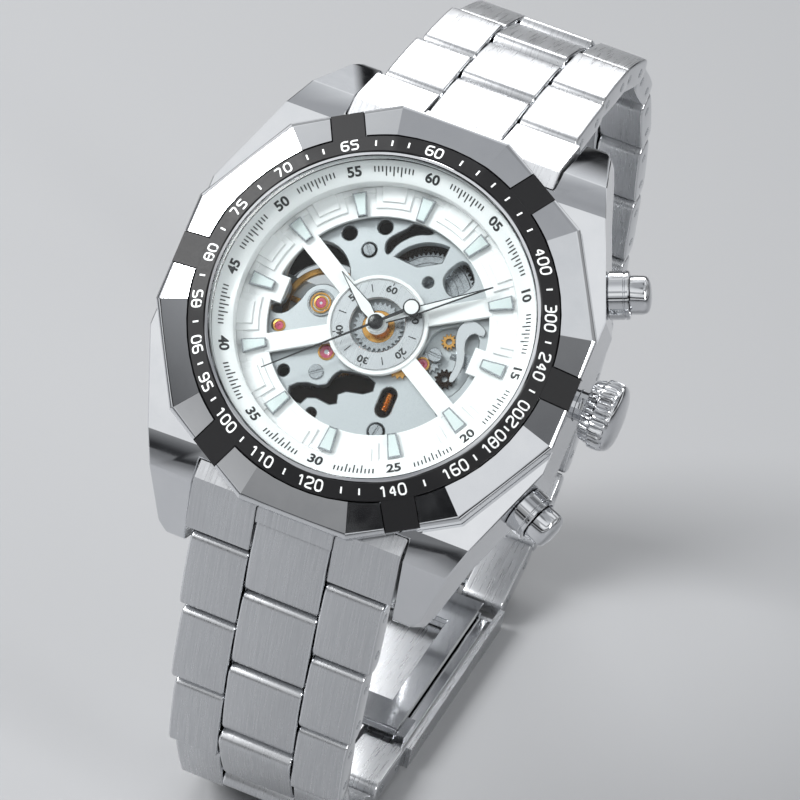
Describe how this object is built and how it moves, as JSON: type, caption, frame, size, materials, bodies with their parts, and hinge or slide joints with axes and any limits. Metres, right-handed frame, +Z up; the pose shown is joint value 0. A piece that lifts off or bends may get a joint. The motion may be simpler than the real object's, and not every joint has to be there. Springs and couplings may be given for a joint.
{
  "type": "skeleton wristwatch",
  "caption": "Self-winding wristwatch with an open-worked white dial, a faceted polished bezel with a black scale ring, a knurled crown and side pushers, on a closed steel link bracelet.",
  "frame": {"origin": "centre of the flat underside of the clasp cover, on which the closed watch stands", "axes": "+X to the crown at 3 o'clock, +Y away from the 6 o'clock side, +Z up; the head leans back 48.4 degrees from lying flat"},
  "size_m": [0.0465, 0.0879, 0.0808],
  "materials": {
    "polished_steel": "mirror-polished stainless steel",
    "brushed_steel": "stainless steel with lengthwise satin brushing",
    "black_ring": "satin black with white numerals",
    "crystal_glass": "clear glass",
    "white_dial": "white lacquer",
    "white_hand": "white paint with a dark edge",
    "black_hand": "satin black paint",
    "frosted_plate": "frosted nickel plate",
    "movement_brass": "gilt brass",
    "movement_steel": "ground steel",
    "black_rubber": "matt rubber"
  },
  "bodies": {
    "case": {"case_middle": "polished_steel", "bezel": "polished_steel", "bezel_insert": "black_ring", "crystal": "crystal_glass", "flange_ring": "white_dial", "case_back": "polished_steel", "back_crystal": "crystal_glass", "crown_tube": "polished_steel", "pusher_collar_2": "polished_steel", "pusher_collar_4": "polished_steel", "dial": "white_dial", "centre_disc": "brushed_steel", "main_plate": "frosted_plate", "balance_cock": "frosted_plate", "train_bridge": "frosted_plate", "end_link_12": "brushed_steel", "end_link_6": "brushed_steel", "spring_bar_12": "movement_steel", "spring_bar_6": "movement_steel"},
    "crown_slide": {"crown_gasket": "black_rubber"},
    "crown": {"crown": "polished_steel", "winding_stem": "movement_steel"},
    "pusher_2": {"pusher_2": "polished_steel"},
    "pusher_4": {"pusher_4": "polished_steel"},
    "hour_hand": {"hour_hand": "white_hand", "hour_wheel": "movement_brass"},
    "minute_hand": {"minute_hand": "white_hand", "centre_wheel": "movement_brass"},
    "seconds_hand": {"seconds_hand": "black_hand", "fourth_wheel": "movement_brass"},
    "minute_wheel": {"minute_wheel": "movement_brass"},
    "setting_lever": {"setting_lever": "movement_steel"},
    "third_wheel": {"third_wheel": "movement_brass"},
    "escape_wheel": {"escape_wheel": "movement_steel"},
    "pallet_fork": {"pallet_fork": "movement_steel"},
    "balance_wheel": {"balance_wheel": "movement_brass"},
    "barrel": {"barrel": "frosted_plate"},
    "ratchet_wheel": {"ratchet_wheel": "movement_steel"},
    "rotor": {"rotor": "frosted_plate"},
    "link_12_01": {"link_12_01": "brushed_steel"},
    "link_12_02": {"link_12_02": "brushed_steel"},
    "link_12_03": {"link_12_03": "brushed_steel"},
    "link_12_04": {"link_12_04": "brushed_steel"},
    "link_12_05": {"link_12_05": "brushed_steel"},
    "link_12_06": {"link_12_06": "brushed_steel"},
    "link_12_07": {"link_12_07": "brushed_steel"},
    "link_12_08": {"link_12_08": "brushed_steel"},
    "link_12_09": {"link_12_09": "brushed_steel"},
    "link_12_10": {"link_12_10": "brushed_steel"},
    "link_12_11": {"link_12_11": "brushed_steel"},
    "link_12_12": {"link_12_12": "brushed_steel"},
    "link_6_01": {"link_6_01": "brushed_steel"},
    "link_6_02": {"link_6_02": "brushed_steel"},
    "link_6_03": {"link_6_03": "brushed_steel"},
    "link_6_04": {"link_6_04": "brushed_steel"},
    "link_6_05": {"link_6_05": "brushed_steel"},
    "link_6_06": {"link_6_06": "brushed_steel"},
    "clasp_cover": {"clasp_cover": "brushed_steel"},
    "clasp_middle_blade": {"clasp_middle_blade": "polished_steel"},
    "clasp_inner_blade": {"clasp_inner_blade": "polished_steel"}
  },
  "joints": [
    {"name": "crown_pull", "type": "slide", "parent": "case", "child": "crown_slide", "axis": [1, 0, 0], "range_m": [0, 0.0012]},
    {"name": "crown_turn", "type": "hinge", "parent": "crown_slide", "child": "crown", "pos_m": [0, -0.03275, 0.06193], "axis": [1, 0, 0], "continuous": true},
    {"name": "pusher_2_press", "type": "slide", "parent": "case", "child": "pusher_2", "axis": [-0.9277, -0.2478, -0.2791], "range_m": [0, 0.001], "stiffness_N_per_m": 800, "springref_m": -0.001},
    {"name": "pusher_4_press", "type": "slide", "parent": "case", "child": "pusher_4", "axis": [-0.9277, 0.2478, 0.2791], "range_m": [0, 0.001], "stiffness_N_per_m": 800, "springref_m": -0.001},
    {"name": "seconds_spin", "type": "hinge", "parent": "case", "child": "seconds_hand", "pos_m": [0, -0.03649, 0.06525], "axis": [0, 0.7478, -0.6639], "continuous": true},
    {"name": "minute_spin", "type": "hinge", "parent": "case", "child": "minute_hand", "pos_m": [0, -0.03649, 0.06525], "axis": [0, 0.7478, -0.6639], "continuous": true},
    {"name": "hour_spin", "type": "hinge", "parent": "case", "child": "hour_hand", "pos_m": [0, -0.03649, 0.06525], "axis": [0, 0.7478, -0.6639], "continuous": true},
    {"name": "minute_wheel_spin", "type": "hinge", "parent": "case", "child": "minute_wheel", "pos_m": [0.0034, -0.03821, 0.06331], "axis": [0, 0.7478, -0.6639], "continuous": true},
    {"name": "third_wheel_spin", "type": "hinge", "parent": "case", "child": "third_wheel", "pos_m": [-0.0032, -0.03861, 0.06286], "axis": [0, 0.7478, -0.6639], "continuous": true},
    {"name": "escape_wheel_spin", "type": "hinge", "parent": "case", "child": "escape_wheel", "pos_m": [-0.005, -0.04047, 0.06076], "axis": [0, 0.7478, -0.6639], "continuous": true},
    {"name": "barrel_spin", "type": "hinge", "parent": "case", "child": "barrel", "pos_m": [0.003, -0.03317, 0.06899], "axis": [0, 0.7478, -0.6639], "continuous": true},
    {"name": "ratchet_turn", "type": "hinge", "parent": "case", "child": "ratchet_wheel", "pos_m": [0.003, -0.03317, 0.06899], "axis": [0, 0.7478, -0.6639], "continuous": true},
    {"name": "rotor_swing", "type": "hinge", "parent": "case", "child": "rotor", "pos_m": [0, -0.03649, 0.06525], "axis": [0, 0.7478, -0.6639], "continuous": true},
    {"name": "balance_swing", "type": "hinge", "parent": "case", "child": "balance_wheel", "pos_m": [-0.0063, -0.03632, 0.06544], "axis": [0, 0.7478, -0.6639], "range_deg": [-270, 270], "stiffness_Nm_per_rad": 0.0000004},
    {"name": "pallet_rock", "type": "hinge", "parent": "case", "child": "pallet_fork", "pos_m": [-0.0059, -0.03854, 0.06293], "axis": [0, 0.7478, -0.6639], "range_deg": [-6, 6]},
    {"name": "setting_lever_turn", "type": "hinge", "parent": "case", "child": "setting_lever", "pos_m": [0.0089, -0.03429, 0.06772], "axis": [0, 0.7478, -0.6639], "range_deg": [0, 13]},
    {"name": "link_12_01_hinge", "type": "hinge", "parent": "case", "child": "link_12_01", "pos_m": [0, -0.01675, 0.0776], "axis": [1, 0, 0], "range_deg": [0, 4]},
    {"name": "link_12_02_hinge", "type": "hinge", "parent": "link_12_01", "child": "link_12_02", "pos_m": [0, -0.00696, 0.0779], "axis": [1, 0, 0], "range_deg": [0, 8.1]},
    {"name": "link_12_03_hinge", "type": "hinge", "parent": "link_12_02", "child": "link_12_03", "pos_m": [0, 0.00283, 0.07749], "axis": [1, 0, 0], "range_deg": [0, 17.4]},
    {"name": "link_12_04_hinge", "type": "hinge", "parent": "link_12_03", "child": "link_12_04", "pos_m": [0, 0.01226, 0.07483], "axis": [1, 0, 0], "range_deg": [0, 24.6]},
    {"name": "link_12_05_hinge", "type": "hinge", "parent": "link_12_04", "child": "link_12_05", "pos_m": [0, 0.02015, 0.06901], "axis": [1, 0, 0], "range_deg": [0, 20.5]},
    {"name": "link_12_06_hinge", "type": "hinge", "parent": "link_12_05", "child": "link_12_06", "pos_m": [0, 0.02607, 0.0612], "axis": [1, 0, 0], "range_deg": [0, 14.3]},
    {"name": "link_12_07_hinge", "type": "hinge", "parent": "link_12_06", "child": "link_12_07", "pos_m": [0, 0.03049, 0.05245], "axis": [1, 0, 0], "range_deg": [0, 11.2]},
    {"name": "link_12_08_hinge", "type": "hinge", "parent": "link_12_07", "child": "link_12_08", "pos_m": [0, 0.03377, 0.04322], "axis": [1, 0, 0], "range_deg": [0, 12.2]},
    {"name": "link_12_09_hinge", "type": "hinge", "parent": "link_12_08", "child": "link_12_09", "pos_m": [0, 0.0357, 0.03361], "axis": [1, 0, 0], "range_deg": [0, 15.3]},
    {"name": "link_12_10_hinge", "type": "hinge", "parent": "link_12_09", "child": "link_12_10", "pos_m": [0, 0.03571, 0.02381], "axis": [1, 0, 0], "range_deg": [0, 20.5]},
    {"name": "link_12_11_hinge", "type": "hinge", "parent": "link_12_10", "child": "link_12_11", "pos_m": [0, 0.03293, 0.01441], "axis": [1, 0, 0], "range_deg": [0, 25.6]},
    {"name": "link_12_12_hinge", "type": "hinge", "parent": "link_12_11", "child": "link_12_12", "pos_m": [0, 0.02688, 0.0067], "axis": [1, 0, 0], "range_deg": [0, 30.8]},
    {"name": "link_6_01_hinge", "type": "hinge", "parent": "case", "child": "link_6_01", "pos_m": [0, -0.04642, 0.04419], "axis": [-1, 0, 0], "range_deg": [0, 4]},
    {"name": "link_6_02_hinge", "type": "hinge", "parent": "link_6_01", "child": "link_6_02", "pos_m": [0, -0.04539, 0.03445], "axis": [-1, 0, 0], "range_deg": [0, 5]},
    {"name": "link_6_03_hinge", "type": "hinge", "parent": "link_6_02", "child": "link_6_03", "pos_m": [0, -0.0442, 0.02472], "axis": [-1, 0, 0], "range_deg": [0, 11]},
    {"name": "link_6_04_hinge", "type": "hinge", "parent": "link_6_03", "child": "link_6_04", "pos_m": [0, -0.04183, 0.01521], "axis": [-1, 0, 0], "range_deg": [0, 24]},
    {"name": "link_6_05_hinge", "type": "hinge", "parent": "link_6_04", "child": "link_6_05", "pos_m": [0, -0.03635, 0.00709], "axis": [-1, 0, 0], "range_deg": [0, 31]},
    {"name": "link_6_06_hinge", "type": "hinge", "parent": "link_6_05", "child": "link_6_06", "pos_m": [0, -0.02778, 0.00233], "axis": [-1, 0, 0], "range_deg": [0, 29]},
    {"name": "clasp_cover_hinge", "type": "hinge", "parent": "link_6_06", "child": "clasp_cover", "pos_m": [0, -0.018, 0.00165], "axis": [-1, 0, 0], "range_deg": [0, 8]},
    {"name": "clasp_middle_blade_hinge", "type": "hinge", "parent": "clasp_cover", "child": "clasp_middle_blade", "pos_m": [0, 0.0142, 0.00135], "axis": [-1, 0, 0], "range_deg": [0, 60]},
    {"name": "clasp_inner_blade_hinge", "type": "hinge", "parent": "clasp_middle_blade", "child": "clasp_inner_blade", "pos_m": [0, -0.0134, 0.0021], "axis": [1, 0, 0], "range_deg": [0, 80]}
  ],
  "couplings": [
    {"joint": "minute_spin", "follows": "seconds_spin", "ratio": 0.016667},
    {"joint": "hour_spin", "follows": "seconds_spin", "ratio": 0.0013889},
    {"joint": "minute_wheel_spin", "follows": "seconds_spin", "ratio": -0.0055556},
    {"joint": "third_wheel_spin", "follows": "seconds_spin", "ratio": -0.13333},
    {"joint": "escape_wheel_spin", "follows": "seconds_spin", "ratio": -12},
    {"joint": "barrel_spin", "follows": "seconds_spin", "ratio": -0.002381},
    {"joint": "ratchet_turn", "follows": "crown_turn", "ratio": 0.4},
    {"joint": "setting_lever_turn", "follows": "crown_pull", "rad_per_m": 180}
  ]
}
